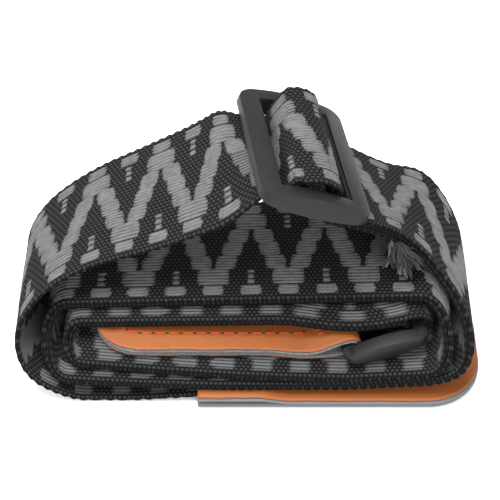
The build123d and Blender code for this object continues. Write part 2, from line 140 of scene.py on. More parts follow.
# %% [markdown]
# ## How the coil leans and twists
# Seen from the front, every turn of the coil is a line in the XZ plane. The turns don't stand
# exactly behind one another: the higher ones lie further back, and the arch rolls a little as it
# goes through the slider. These functions give the front edge and the direction across.


# %% Lean and twist
def near_ring(x, z):
    level = TOP_INNER_LEFT + TOP_SLOPE * (x - LEFT_INNER_X)
    before = np.where((z > 17) & (z < level + 2), ease(x, 10, RING_BAR[0] - 8), 0)
    round_it = 1 - ease(np.hypot(x - RING_BAR[0], z - RING_BAR[2]), 6.4, 8.0)
    return np.where(x < RING_BAR[0] - 1, before, round_it)


def drift(x, z):
    """The right shoulder lies a little further back than the rest."""
    return 4 * ease(x, -10, 50) * ease(z, 34, 44)


def front_of_pair(x, z):
    front = FRONT_LOW + LEAN_BACK * ease(z - 0.085 * (x + 60), LEAN_FROM, LEAN_TO) + drift(x, z)
    in_ring = RING_BAR[1] + (x - RING_BAR[0]) * math.tan(math.radians(RING_YAW)) - 25
    at_ring = near_ring(x, z)
    return front * (1 - at_ring) + in_ring * at_ring


def front_of_single(x, z):
    return FRONT_LOW + LEAN_BACK * ease(z, 0, SINGLE_LEAN_TO) + drift(x, z)


def turned(roll, yaw):
    roll, yaw = np.radians(roll), np.radians(yaw)
    return np.stack([-np.sin(yaw) * np.cos(roll), np.cos(yaw) * np.cos(roll), np.sin(roll)], 1)


def ruling(x, z):
    arch = z >= ARCH_BASE
    roll = 11 * ease(x, -75, -12) - 19 * ease(x, -12, 3) - 5 * ease(x, 34, 50) + 13 * ease(x, 52, 71)
    over_slider = (x - SLIDER_AT[0]) * SLIDER_Z[0] + (z - SLIDER_AT[2]) * SLIDER_Z[2]
    roll = np.where(arch, roll + 8 * ease(over_slider, 4.6, 9.5), 0)
    yaw = np.where(arch, 8 * ease(x, -25, 3) - 8 * ease(x, 34, 62), RING_YAW * near_ring(x, z))
    return turned(roll, yaw)


def line_of(path, guide, front, across, half=25.0):
    """Everything that lays a strip: its length so far, its middle, and its side and up."""
    path, guide = np.array(path), np.array(guide)
    keep = np.r_[True, np.linalg.norm(np.diff(path, axis=0), axis=1) > 1e-4]
    path, guide = path[keep], guide[keep]
    s = np.r_[0, np.cumsum(np.linalg.norm(np.diff(path, axis=0), axis=1))]
    heading = np.gradient(path, s, axis=0)
    heading /= np.linalg.norm(heading, axis=1)[:, None]
    x, z = guide[:, 0], guide[:, 1]
    middle = np.stack([path[:, 0], front(x, z) + half, path[:, 1]], 1)
    up = np.stack([-heading[:, 1], np.zeros(len(path)), heading[:, 0]], 1)
    return {"s": s, "middle": middle, "side": across(x, z), "up": up}


def laid(line, s, v, h):
    """Places on the strip: s along it, v across from its middle, h above its middle."""
    s = np.asarray(s, float)
    found = []
    for key in ("middle", "side", "up"):
        found.append(np.stack([np.interp(s, line["s"], line[key][:, i]) for i in range(3)], -1))
    middle, side, up = found
    return middle + side * np.asarray(v)[..., None] + up * np.asarray(h)[..., None]


# %% [markdown]
# ## The line of the coil
# One ply runs from the end tab round the left end and up the arch to the slider. There it meets
# the doubled part, which winds inwards to the ring. The outer ply of the pair goes round the
# ring's right bar and comes back as the inner ply, up to the slider's middle bar.

# %% The line
single = np.vstack(
    [
        straight((5, 2.7), (-19, 2.7)),
        straight((-19, 2.7), (-42, 0.95)),
        straight((-42, 0.95), (-60, 0.95)),
        curve(
            [(-60, 0.95), (-71, 4.5), (-82.3, 13.2), (-84.1, 21), (-79.5, 28.5), (-67, 37.2)]
            + [(-50, 45.5), (-31, 54.6), (-14, 64.2), in_slider((-17, -5.2))[0]],
            (-1, 0.05),
            (1, 0.3),
        ),
    ]
)
hump = curve(
    in_slider(
        (-17, -5.2), (-13, -5.4), (-10.2, -4.4), (-8.9, -2), (-8.7, 1.5), (-8.1, 5.5), (-5, 9.2), (0, 10.5),
        (5, 9.2), (8.1, 5.5), (8.7, 1.5), (9, -2.2), (10.4, -4.6), (13, -5.6), (17, -6.2),
    ),
    (1, 0.3),
    (1, -0.5),
    0.25,
)
pair_start = (hump[-1, 0] - 0.45, hump[-1, 1] - 0.89)
turn_x = RING_BAR[0] - 8
turn_z = TOP_INNER_LEFT + TOP_SLOPE * (turn_x - LEFT_INNER_X)
pair = np.vstack(
    [
        curve(
            [pair_start, (46, 49.8), (57, 43.6), (67, 38.2), (75, 31.5), (78.4, 24.5), (75.7, 17)]
            + [(68.8, 11.7), (58, 9.9)],
            (1, -0.5),
            (-1, -0.09),
        ),
        straight((58, 9.9), (34, LOW_OUTER)),
        straight((34, LOW_OUTER), (LEFT_OUTER_X, LOW_OUTER)),
        half_turn((LEFT_OUTER_X, LOW_OUTER), (LEFT_OUTER_X, TOP_OUTER_LEFT), -1),
        straight((LEFT_OUTER_X, TOP_OUTER_LEFT), (COIL_RIGHT_X, 32.4)),
        half_turn((COIL_RIGHT_X, 32.4), (COIL_RIGHT_X, 14.15), 1),
        straight((COIL_RIGHT_X, 14.15), (35, LOW_INNER)),
        straight((35, LOW_INNER), (LEFT_INNER_X, LOW_INNER)),
        half_turn((LEFT_INNER_X, LOW_INNER), (LEFT_INNER_X, TOP_INNER_LEFT), -1),
        straight((LEFT_INNER_X, TOP_INNER_LEFT), (turn_x, turn_z)),
    ]
)
pair = pair[np.r_[True, np.linalg.norm(np.diff(pair, axis=0), axis=1) > 1e-4]]
along_pair = np.gradient(pair, axis=0)
along_pair /= np.linalg.norm(along_pair, axis=1)[:, None]
left_of_pair = np.stack([-along_pair[:, 1], along_pair[:, 0]], 1)
bx, bz = RING_BAR[0], RING_BAR[2]
ring_turn = curve(
    [(turn_x - 0.066, turn_z + 1), (bx - 0.5, bz + 5.6), (bx + 3.7, bz + 3.3), (bx + 4.6, bz)]
    + [(bx + 2.5, bz - 3.3), (bx - 1.6, bz - 3.7), (bx - 4.4, bz - 1.2)],
    (1, 0.07),
    (0, 1),
)
ring_back = curve(
    [(bx - 4.4, bz - 1.2), (bx - 5, bz + 1.8), (turn_x + 0.066, turn_z - 1)], (0, 1), (-1, -0.07)
)
lead = curve(
    [(pair_start[0] - 0.45, pair_start[1] - 0.89)] + in_slider((11, -8.2), (7.4, -7.1)),
    (-1, 0.5),
    (-1, 0.9),
)
loop = curve(
    in_slider(
        (7.4, -7.1), (6, -5), (4.6, -2.6), (4, 0), (3, 2.5), (0, 3.4), (-3, 2.5), (-4, 0), (-3.2, -2.6),
        (0, -3.6), (3, -5), (4.5, -7), (5.6, -9),
    ),
    step=0.25,
)
folded = (pair - 3.06 * left_of_pair)[:58]
tail_lead = curve(in_slider((5.6, -9), (9.5, -10.6)) + [tuple(folded[0])], (1, -1), (1, -0.5))

arch = line_of(single, single, front_of_single, ruling)
slider_pass = line_of(hump, hump, front_of_pair, ruling)
outer = line_of(
    np.vstack([pair + left_of_pair, ring_turn[1:]]),
    np.vstack([pair, ring_turn[1:]]),
    front_of_pair,
    ruling,
)
inner = line_of(
    np.vstack([ring_back, (pair - left_of_pair)[::-1], lead[1:]]),
    np.vstack([ring_back, pair[::-1], lead[1:]]),
    front_of_pair,
    ruling,
)
tail_loop = line_of(loop, loop, front_of_pair, ruling)
tail_end = line_of(
    np.vstack([tail_lead[:-1], folded]), np.vstack([tail_lead[:-1], pair[:58]]), front_of_pair, ruling
)
lengths = [line["s"][-1] for line in (arch, slider_pass, outer, inner, tail_loop, tail_end)]
print("webbing runs in mm:", [round(x) for x in lengths], "total", round(sum(lengths)))

# %% [markdown]
# ## The weave
# The ground is plain weave in black yarn, so it is a field of small beads. The pattern is made by
# grey yarns that float over the ground: ovals along both edges, wide blocks next to them, and
# slanting arms that join the blocks across the middle. Turned end for end and moved by half a
# repeat, the pattern falls on itself.

# %% Pattern
WIDTH, THICK, REPEAT = 50.0, 1.5, 27.5
YARN = 1.45  # from one floating yarn to the next
FLOAT_WIDE, FLOAT_HIGH = 1.42, 0.62
FLOAT_LIFT = 0.70  # a float's middle above the middle of the ply


def blocks():
    """Every float block of one repeat: middle along, lowest and highest across, length, slant."""
    p, found = REPEAT, []
    for half in (0, 0.5):
        found.append((half * p, 2.5, 6.7, 0.27 * p, 0))
        found.append((half * p, 43.3, 47.5, 0.27 * p, 0))
    found.append((0, 7.4, 15.0, 0.42 * p, 0))
    found.append((0.5 * p, 35.0, 42.6, 0.42 * p, 0))
    for row, out in enumerate((0.17, 0.25, 0.33)):
        for sign in (-1, 1):
            low = 15 + 6.67 * row
            found.append((sign * out * p, low, low + 6.67, 0.27 * p, sign * 0.02 * p))
    for k in range(3):
        found.append((0.5 * p, 7.9 + 2.5 * k, 9.6 + 2.5 * k, 0.085 * p, 0))
        found.append((0, 40.4 - 2.5 * k, 42.1 - 2.5 * k, 0.085 * p, 0))
    return found


BLOCKS = blocks()


def is_float(s, v):
    """1 where grey yarn covers the ground."""
    grey = np.zeros(np.broadcast(s, v).shape)
    for at, low, high, length, slant in BLOCKS:
        t = np.clip((v - (low + high) / 2) / ((high - low) / 2), -1, 1)
        u = (s - at - slant * t + REPEAT / 2) % REPEAT - REPEAT / 2
        grey = np.maximum(grey, ((v >= low) & (v <= high) & (np.abs(u) < length / 2 * (1 - 0.12 * t**4))))
    return grey


def beads(s, v):
    """Height of the plain weave: small cushions, every other row moved by half."""
    row = np.floor(v / 1.5)
    across = np.sin(math.pi * (v / 1.5 - row))
    along = np.abs(np.sin(math.pi * (s / 1.7 + 0.5 * (row % 2))))
    return 0.16 * (across * along) ** 0.6


# %% [markdown]
# ## One way to make every strip
# Webbing, leather and felt are all strips: a closed outline carried along a line. `strip` builds
# that skin, and keeps the place in the flat cloth as an attribute called `cloth`, in millimetres,
# so a material can follow the threads round every bend.


# %% Strips
def new_object(name, mesh, material, smooth=True):
    thing = bpy.data.objects.new(name, mesh)
    bpy.context.scene.collection.objects.link(thing)
    mesh.materials.clear()
    mesh.materials.append(material)
    mesh.shade_smooth() if smooth else mesh.shade_flat()
    return thing


def outline(width, thick, columns, below, turn=4):
    """A flat bar with round edges: over the top to the back, then under to the front."""
    r, half = thick / 2, width / 2
    t = np.linspace(math.pi / 2, -math.pi / 2, turn + 2)[1:-1]
    top = np.linspace(-half + r, half - r, columns)
    under = np.linspace(half - r, -half + r, below)
    v = np.r_[top, half - r + r * np.cos(t), under, -half + r - r * np.cos(t[::-1])]
    h = np.r_[np.full(columns, r), r * np.sin(t), np.full(below, -r), r * np.sin(t[::-1])]
    return v, h, np.r_[np.ones(columns), np.zeros(turn), -np.ones(below), np.zeros(turn)]


def strip(name, line, stations, shape, material, relief=None, squeeze=None, start=0.0, grey=False):
    v, h, face = shape
    s = np.asarray(stations, float)[:, None] + np.zeros(len(v))
    v, h, face = (np.asarray(a)[None, :] + np.zeros_like(s) for a in (v, h, face))
    if relief is not None:
        dv, dh = relief(s + start, v, face)
        v, h = v + dv, h + dh
    cloth = np.stack([s + start, v + WIDTH / 2, h], -1)
    if squeeze is not None:
        v = v * squeeze(s)
    places = (laid(line, s, v, h) - CENTRE) / 1000
    n, k = s.shape
    index = np.arange(n * k).reshape(n, k)
    a, b = index[:-1], index[1:]
    quads = np.stack([a, b, np.roll(b, -1, 1), np.roll(a, -1, 1)], -1).reshape(-1, 4)
    mesh = bpy.data.meshes.new(name)
    faces = quads.tolist() + [index[0].tolist(), index[-1][::-1].tolist()]
    mesh.from_pydata(places.reshape(-1, 3).tolist(), [], faces)
    held = mesh.attributes.new("cloth", "FLOAT_VECTOR", "POINT")
    held.data.foreach_set("vector", cloth.reshape(-1).astype(np.float32))
    if grey:
        shade = is_float(cloth[..., 0], cloth[..., 1]) * (np.abs(face) > 0.5)
        mesh.attributes.new("grey", "FLOAT", "POINT").data.foreach_set(
            "value", shade.reshape(-1).astype(np.float32)
        )
    mesh.validate()
    return new_object(name, mesh, material)


# %% [markdown]
# ## Materials
# A material is a chain of small steps. `node` adds one step with its settings and the links into
# it. Each finish starts from the real stuff's colour and roughness, and then gets the unevenness
# that the eye reads as thread, hide, felt or moulded plastic.


# %% Material helpers
def node(tree, kind, settings=None, **inputs):
    made = tree.nodes.new(kind)
    for key, value in (settings or {}).items():
        setattr(made, key, value)
    for key, value in inputs.items():
        slot = made.inputs[int(key[1:])] if key[0] == "i" and key[1:].isdigit() else None
        if slot is None:
            slot = made.inputs[key.replace("_", " ")]
        if isinstance(value, bpy.types.NodeSocket):
            tree.links.new(value, slot)
        else:
            slot.default_value = value
    return made


def maths(tree, operation, a, b=0.0, clamp=False):
    return node(tree, "ShaderNodeMath", {"operation": operation, "use_clamp": clamp}, i0=a, i1=b).outputs[0]


def blend_of(tree, factor, a, b):
    mix = node(tree, "ShaderNodeMix", {"data_type": "RGBA"})
    for slot, value in ((mix.inputs[0], factor), (mix.inputs[6], a), (mix.inputs[7], b)):
        if isinstance(value, bpy.types.NodeSocket):
            tree.links.new(value, slot)
        else:
            slot.default_value = value
    return mix.outputs[2]


def noise(tree, where, scale, detail=3.0, roughness=0.6):
    return node(
        tree, "ShaderNodeTexNoise", None, Vector=where, Scale=scale, Detail=detail, Roughness=roughness
    ).outputs[0]


def material(name):
    made = bpy.data.materials.new(name)
    made.use_nodes = True
    tree = made.node_tree
    tree.nodes.clear()
    return made, tree


def surface(tree, base, roughness, height=None, strength=0.5, distance=0.0002, **inputs):
    shader = node(tree, "ShaderNodeBsdfPrincipled", None, **inputs)
    for slot, value in ((shader.inputs["Base Color"], base), (shader.inputs["Roughness"], roughness)):
        if isinstance(value, bpy.types.NodeSocket):
            tree.links.new(value, slot)
        else:
            slot.default_value = value
    if height is not None:
        bump = node(tree, "ShaderNodeBump", None, Height=height, Strength=strength, Distance=distance)
        tree.links.new(bump.outputs[0], shader.inputs["Normal"])
    out = tree.nodes.new("ShaderNodeOutputMaterial")
    tree.links.new(shader.outputs[0], out.inputs[0])


def cloth_of(tree):
    where = node(tree, "ShaderNodeAttribute", {"attribute_name": "cloth"}).outputs["Vector"]
    return where, node(tree, "ShaderNodeSeparateXYZ", None, Vector=where).outputs


def stretched(tree, where, scale):
    return node(tree, "ShaderNodeVectorMath", {"operation": "MULTIPLY"}, i0=where, i1=scale).outputs[0]


# %% [markdown]
# ### Webbing
# Black polyester yarn is nearly black; the gaps between beads are painted darker as painted shade, and the
# top of each bead is painted lighter as a painted highlight.
# The grey yarn is a bundle of fine filaments, so it has thin streaks along its length.


# %% Webbing materials
def black_ground():
    made, tree = material("black_polyester_plain_weave")
    where, (along, across, _) = cloth_of(tree)
    row = maths(tree, "FLOOR", maths(tree, "DIVIDE", across, 1.5))
    moved = maths(tree, "MULTIPLY", maths(tree, "MODULO", row, 2.0), 0.5)
    turn = maths(tree, "ADD", maths(tree, "DIVIDE", along, 1.7), moved)
    up = maths(tree, "ABSOLUTE", maths(tree, "SINE", maths(tree, "MULTIPLY", turn, math.pi)))
    wide = maths(tree, "MULTIPLY", maths(tree, "DIVIDE", across, 1.5), math.pi)
    top = maths(tree, "MULTIPLY", up, maths(tree, "ABSOLUTE", maths(tree, "SINE", wide)))
    fibre = noise(tree, stretched(tree, where, (0.7, 6.0, 1.0)), 2.2, 4.0)
    # painted highlight on the top of each bead; the dark gaps between beads are painted shade
    light = maths(tree, "MULTIPLY", maths(tree, "POWER", top, 1.5), fibre, True)
    black = blend_of(tree, light, colour("#050505"), colour("#474749"))
    grey_here = node(tree, "ShaderNodeAttribute", {"attribute_name": "grey"}).outputs["Fac"]
    strand = maths(tree, "ABSOLUTE", maths(tree, "SINE", maths(tree, "MULTIPLY", across, math.pi / YARN)))
    grey = blend_of(tree, strand, colour("#1B1C1D"), colour("#5A5B5C"))
    base = blend_of(tree, grey_here, black, grey)
    height = maths(tree, "ADD", maths(tree, "MULTIPLY", top, 0.6), maths(tree, "MULTIPLY", fibre, 0.4))
    surface(tree, base, 0.9, height, 0.8, 0.0003, Specular_IOR_Level=0.12)
    return made


def yarn(name, dark, light):
    made, tree = material(name)
    where, _ = cloth_of(tree)
    streak = noise(tree, stretched(tree, where, (0.25, 7.0, 7.0)), 1.0, 4.0)
    patch = noise(tree, where, 0.35, 2.0)
    mix = maths(tree, "ADD", maths(tree, "MULTIPLY", streak, 1.3), maths(tree, "MULTIPLY", patch, 0.5))
    tone = maths(tree, "SUBTRACT", mix, 0.45, True)
    base = blend_of(tree, tone, colour(dark), colour(light))
    surface(tree, base, 0.8, streak, 0.7, 0.0002, Specular_IOR_Level=0.2)
    return made


BLACK_GROUND = black_ground()
GREY_YARN = yarn("grey_polyester_float_yarn", "#2E2E2E", "#7C7C7D")
BLACK_YARN = yarn("black_polyester_thread", "#0B0B0C", "#404144")
ORANGE_THREAD = yarn("orange_waxed_thread", "#8A3310", "#CC5E28")

# %% [markdown]
# ### Leather, felt and plastic
# Smooth tan leather has a fine pebble grain and slow patches of darker colour. Pressed wool felt
# mixes light and dark fibres. The slider and ring are moulded in black nylon, with a dull skin.


# %% Leather, felt and plastic
def leather():
    made, tree = material("tan_leather_smooth_grain")
    where, _ = cloth_of(tree)
    grain = node(tree, "ShaderNodeTexVoronoi", {"feature": "DISTANCE_TO_EDGE"}, Vector=where, Scale=1.7)
    pore = maths(tree, "MINIMUM", maths(tree, "MULTIPLY", grain.outputs["Distance"], 5.0), 1.0)
    patch = noise(tree, where, 0.09, 4.0)
    fine = noise(tree, where, 2.5, 4.0)
    base = blend_of(tree, maths(tree, "MULTIPLY", patch, 1.2, True), colour("#80451A"), colour("#965425"))
    base = blend_of(tree, maths(tree, "MULTIPLY", fine, 0.4), base, colour("#683A1A"))
    height = maths(tree, "ADD", maths(tree, "MULTIPLY", pore, 0.6), maths(tree, "MULTIPLY", fine, 0.6))
    rough = maths(tree, "ADD", maths(tree, "MULTIPLY", fine, 0.25), 0.38)
    surface(tree, base, rough, height, 0.35, 0.0002, Specular_IOR_Level=0.3)
    return made


def felt():
    made, tree = material("grey_wool_felt")
    where, _ = cloth_of(tree)
    clump = noise(tree, where, 0.9, 5.0, 0.7)
    fibre = noise(tree, stretched(tree, where, (2.0, 5.0, 5.0)), 1.1, 5.0, 0.75)
    tone = maths(tree, "ADD", maths(tree, "MULTIPLY", clump, 0.9), maths(tree, "MULTIPLY", fibre, 0.9))
    tone = maths(tree, "SUBTRACT", tone, 0.4, True)
    base = blend_of(tree, tone, colour("#262627"), colour("#8C8D8E"))
    surface(tree, base, 0.98, fibre, 0.9, 0.0004, Specular_IOR_Level=0.1)
    return made


def nylon():
    made, tree = material("black_nylon_injection_moulded")
    where = node(tree, "ShaderNodeTexCoord").outputs["Object"]
    skin = noise(tree, where, 2600.0, 3.0)
    worn = noise(tree, where, 160.0, 4.0)
    base = blend_of(tree, worn, colour("#0A0A0B"), colour("#171718"))
    rough = maths(tree, "ADD", maths(tree, "MULTIPLY", worn, 0.2), 0.42)
    surface(tree, base, rough, skin, 0.12, 0.00008, Specular_IOR_Level=0.28)
    return made


LEATHER, FELT, NYLON = leather(), felt(), nylon()

# %% [markdown]
# ## Yarns on points
# Floats, stitches and loose threads are the same thing in different sizes: a short soft-ended
# yarn. A small geometry-nodes tree sets one on every point, as long as the point's `length` says
# and turned as its `turn` says. For the weave that is done flat; the result is then laid along the
# coil, as the real webbing was woven flat and wound afterwards.


# %% Yarn tree
def yarn_tree():
    tree = bpy.data.node_groups.new("yarn_on_points", "GeometryNodeTree")
    sockets = (("Points", "Geometry"), ("Width", "Float"), ("Height", "Float"), ("Material", "Material"))
    for name, kind in sockets:
        tree.interface.new_socket(name, in_out="INPUT", socket_type=f"NodeSocket{kind}")
    tree.interface.new_socket("Yarns", in_out="OUTPUT", socket_type="NodeSocketGeometry")
    given = tree.nodes.new("NodeGroupInput")
    ball = node(tree, "GeometryNodeMeshUVSphere", None, Segments=8, Rings=7, Radius=0.5)
    place = tree.nodes.new("GeometryNodeInputPosition")
    at = node(tree, "ShaderNodeSeparateXYZ", None, Vector=place.outputs[0])
    double = node(tree, "ShaderNodeMath", {"operation": "MULTIPLY"}, i0=at.outputs[2], i1=2.0)
    size = node(tree, "ShaderNodeMath", {"operation": "ABSOLUTE"}, i0=double.outputs[0])
    power = node(tree, "ShaderNodeMath", {"operation": "POWER"}, i0=size.outputs[0], i1=0.75)
    sign = node(tree, "ShaderNodeMath", {"operation": "SIGN"}, i0=at.outputs[2])
    end = node(tree, "ShaderNodeMath", {"operation": "MULTIPLY"}, i0=power.outputs[0], i1=sign.outputs[0])
    halved = node(tree, "ShaderNodeMath", {"operation": "MULTIPLY"}, i0=end.outputs[0], i1=0.5)
    lying = node(tree, "ShaderNodeCombineXYZ", None, X=halved.outputs[0], Y=at.outputs[1], Z=at.outputs[0])
    shaped = node(tree, "GeometryNodeSetPosition", None, Geometry=ball.outputs[0], Position=lying.outputs[0])
    flipped = node(tree, "GeometryNodeFlipFaces", None, Mesh=shaped.outputs[0])
    length = node(tree, "GeometryNodeInputNamedAttribute", {"data_type": "FLOAT"}, Name="length")
    turn = node(tree, "GeometryNodeInputNamedAttribute", {"data_type": "FLOAT_VECTOR"}, Name="turn")
    scale = node(
        tree, "ShaderNodeCombineXYZ", None,
        X=length.outputs[0], Y=given.outputs["Width"], Z=given.outputs["Height"],
    )
    placed = node(
        tree, "GeometryNodeInstanceOnPoints", None,
        Points=given.outputs["Points"], Instance=flipped.outputs[0],
        Rotation=turn.outputs[0], Scale=scale.outputs[0],
    )
    real = node(tree, "GeometryNodeRealizeInstances", None, Geometry=placed.outputs[0])
    named = node(
        tree, "GeometryNodeSetMaterial", None,
        Geometry=real.outputs[0], Material=given.outputs["Material"],
    )
    out = tree.nodes.new("NodeGroupOutput")
    tree.links.new(named.outputs[0], out.inputs[0])
    return tree


YARNS = yarn_tree()


def yarns(name, points, lengths, turns, width, height, finish):
    """Yarns set on points, as a plain mesh, still in the points' own space."""
    mesh = bpy.data.meshes.new(name + "_points")
    mesh.from_pydata(np.asarray(points, float).tolist(), [], [])
    mesh.attributes.new("length", "FLOAT", "POINT").data.foreach_set("value", np.asarray(lengths, np.float32))
    mesh.attributes.new("turn", "FLOAT_VECTOR", "POINT").data.foreach_set(
        "vector", np.asarray(turns, np.float32).reshape(-1)
    )
    seat = bpy.data.objects.new(name + "_points", mesh)
    bpy.context.scene.collection.objects.link(seat)
    modifier = seat.modifiers.new("yarns", "NODES")
    modifier.node_group = YARNS
    ids = {item.name: item.identifier for item in YARNS.interface.items_tree if item.in_out == "INPUT"}
    for key, value in (("Width", width), ("Height", height), ("Material", finish)):
        modifier[ids[key]] = value
    done = bpy.data.meshes.new_from_object(seat.evaluated_get(bpy.context.evaluated_depsgraph_get()))
    bpy.data.objects.remove(seat)
    done.name = name
    return done


def coords(mesh):
    found = np.empty(len(mesh.vertices) * 3, np.float32)
    mesh.vertices.foreach_get("co", found)
    return found.reshape(-1, 3).astype(float)


def set_cloth(mesh, values):
    held = mesh.attributes.get("cloth") or mesh.attributes.new("cloth", "FLOAT_VECTOR", "POINT")
    held.data.foreach_set("vector", np.asarray(values, np.float32).reshape(-1))


def move_to(mesh, places):
    """Puts the vertices at places, given in millimetres in the design's own space."""
    mesh.vertices.foreach_set("co", ((places - CENTRE) / 1000).astype(np.float32).reshape(-1))
    mesh.update()


# %% [markdown]
# ## Laying the webbing
# Each run is a ribbon with beaded selvedges. Where the eye can reach, its stations are half a
# millimetre apart; inside the coil they are further apart. The grey floats go on the outer face.


# %% Webbing runs
def woven(s, v, face):
    edge = ease(np.abs(v), 23.6, 24.6)
    wave = 0.3 * np.sin(2 * math.pi * s / 3.4) * edge * np.sign(v)
    lift = beads(s, v + WIDTH / 2) * face
    return wave, lift * (1 - 0.4 * edge) + 0.05 * (1 - np.abs(face)) * np.sin(2 * math.pi * s / 1.7)


def stations(line, spans):
    """Places along a line: (up to, step) pairs."""
    found, at = [], 0.0
    for end, step in spans:
        end = min(end, line["s"][-1])
        found.append(np.arange(at, end, step))
        at = max(at, end)
    return np.unique(np.append(np.concatenate(found), line["s"][-1]))


def floats(name, line, start, spans):
    """Grey yarns over the ground on the outer face, along the spans."""
    points, sizes = [], []
    length = line["s"][-1]
    for k in range(int(start // REPEAT) - 1, int((start + length) // REPEAT) + 2):
        for at, low, high, long, slant in BLOCKS:
            s = k * REPEAT + at - start
            if not any(a <= s - long / 2 and s + long / 2 <= b for a, b in spans):
                continue
            count = max(1, round((high - low) / YARN))
            for i in range(count):
                t = (i + 0.5) / count
                along = s + slant * (2 * t - 1) + rng.normal(0, 0.12)
                points.append((along, low + (high - low) * t - WIDTH / 2, FLOAT_LIFT))
                sizes.append(long * (1.06 - 1.1 * (t - 0.5) ** 2) + rng.normal(0, 0.15))
    turns = np.zeros((len(points), 3))
    turns[:, 2] = rng.normal(0, 0.025, len(points))
    mesh = yarns(name, points, sizes, turns, FLOAT_WIDE, FLOAT_HIGH, GREY_YARN)
    flat = coords(mesh)
    set_cloth(mesh, flat + [start, WIDTH / 2, 0])
    bow = flat[:, 2] + 0.08
    move_to(mesh, laid(line, flat[:, 0], flat[:, 1], bow))
    return new_object(name, mesh, GREY_YARN)


FINE = 0.5
fine_shape = outline(WIDTH, THICK, 100, 50)
plain_shape = outline(WIDTH, THICK, 50, 50)
FIRST = -10.8  # the place in the pattern where the webbing begins
at_pass = FIRST + arch["s"][-1]
at_outer = arch["s"][-1] + slider_pass["s"][-1]  # the pattern is set anew here, out of sight
arch_piece = strip(
    "arch_webbing", arch, stations(arch, [(66, 2.0), (999, FINE)]), fine_shape, BLACK_GROUND, woven,
    start=FIRST, grey=True,
)
pass_piece = strip(
    "slider_pass_webbing", slider_pass, stations(slider_pass, [(999, FINE)]), fine_shape, BLACK_GROUND,
    woven, start=at_pass, grey=True,
)
outer_spans = [(125, FINE), (250, 1.6), (285, 1.0), (425, FINE), (9999, 2.4)]
outer_piece = strip(
    "outer_ply_webbing", outer, stations(outer, outer_spans), fine_shape, BLACK_GROUND, woven,
    start=at_outer, grey=True,
)
inner_piece = strip(
    "inner_ply_webbing", inner, stations(inner, [(9999, 1.7)]), plain_shape, BLACK_GROUND, woven, grey=True
)
loop_piece = strip(
    "tail_loop_webbing", tail_loop, stations(tail_loop, [(999, 0.5)]), plain_shape, BLACK_GROUND, woven,
    grey=True,
)
tail_piece = strip(
    "tail_end_webbing", tail_end, stations(tail_end, [(999, 0.8)]), plain_shape, BLACK_GROUND, woven,
    grey=True,
)
arch_floats = floats("arch_floats", arch, FIRST, [(24, arch["s"][-1])])
pass_floats = floats("slider_pass_floats", slider_pass, at_pass, [(-9, slider_pass["s"][-1] + 9)])
outer_floats = floats("outer_ply_floats", outer, at_outer, [(0, 125), (225, 440)])

# %% [markdown]
# ## The ring tab
# One strip of leather with felt inside it is folded round the ring's left bar and sewn to itself.
# Its tip is rounded, and a row of orange stitches runs round it 7.5 mm from the edge.

# %% Ring tab
TIP_X, CORNER = -57.0, 17.0
SEAM_IN = 7.5  # from the edge to the row of stitches
fold = curve(
    [(LEFT_BAR[0] - 14, 17.45), (LEFT_BAR[0] - 5.5, LEFT_BAR[2] + 2.1), (LEFT_BAR[0], LEFT_BAR[2] + 3.4)]
    + [(LEFT_BAR[0] + 3, LEFT_BAR[2] + 2.6), (LEFT_BAR[0] + 4.1, LEFT_BAR[2])]
    + [(LEFT_BAR[0] + 3, LEFT_BAR[2] - 2.5), (LEFT_BAR[0], LEFT_BAR[2] - 3.3), (LEFT_BAR[0] - 7, 15.25)],
    (1, 0),
    (-1, 0),
    0.3,
)
middle_of_tab = np.vstack(
    [
        straight((TIP_X, 17.45), (LEFT_BAR[0] - 14, 17.45))[:-1],
        fold,
        straight((LEFT_BAR[0] - 7, 15.25), (TIP_X, 15.25))[1:],
    ]
)
heading = np.gradient(middle_of_tab, axis=0)
heading /= np.linalg.norm(heading, axis=1)[:, None]
left_of_tab = np.stack([-heading[:, 1], heading[:, 0]], 1)


def tab_front(x, z):
    return 12.6 + (x - LEFT_BAR[0]) * math.tan(math.radians(RING_YAW)) * ease(x, 6, 26)


def tab_across(x, z):
    return turned(np.zeros(len(x)), RING_YAW * ease(x, 6, 26))


def tab_squeeze(line):
    def share(s):
        x = np.interp(s, line["s"], line["middle"][:, 0])
        inside = np.clip(TIP_X + CORNER - x, 0, CORNER)
        return 1 - (CORNER - np.sqrt(CORNER**2 - inside**2)) / 25

    return share


def hand_cut(depth):
    """Leather and felt edges wander a little, and the face dips along the seam."""

    def relief(s, v, face):
        wave = 0.12 * np.sin(s * 0.31 + 1) + 0.08 * np.sin(s * 0.83)
        seam = np.exp(-(((25 - np.abs(v)) - SEAM_IN) ** 2) / 0.9)
        return wave * np.sign(v) * ease(np.abs(v), 20, 25), -depth * seam * np.maximum(face, 0)

    return relief


leather_line = line_of(middle_of_tab + 0.6 * left_of_tab, middle_of_tab, tab_front, tab_across)
felt_line = line_of(middle_of_tab - 0.45 * left_of_tab, middle_of_tab, tab_front, tab_across)
tab_stations = stations(leather_line, [(12, 0.25), (9999, 0.9)])
back_stations = leather_line["s"][-1] - np.arange(0, 12, 0.25)
ring_leather = strip(
    "ring_tab_leather_piece", leather_line, np.unique(np.r_[tab_stations, back_stations]),
    outline(50, 0.9, 90, 40), LEATHER, hand_cut(0.12), tab_squeeze(leather_line),
)
felt_stations = stations(felt_line, [(12, 0.25), (9999, 0.9)])
felt_back = felt_line["s"][-1] - np.arange(0, 12, 0.25)
ring_felt = strip(
    "ring_tab_felt_piece", felt_line, np.unique(np.r_[felt_stations, felt_back]),
    outline(50.8, 1.1, 60, 40), FELT, None, tab_squeeze(felt_line),
)

# %% [markdown]
# ## The end tab
# Felt below, then the webbing's end, then felt and leather on top, sewn together round the edge.
# Clear of the webbing's end the two upper layers step down onto the underlay. It lies flat under
# the coil, with a button hole near its round end.

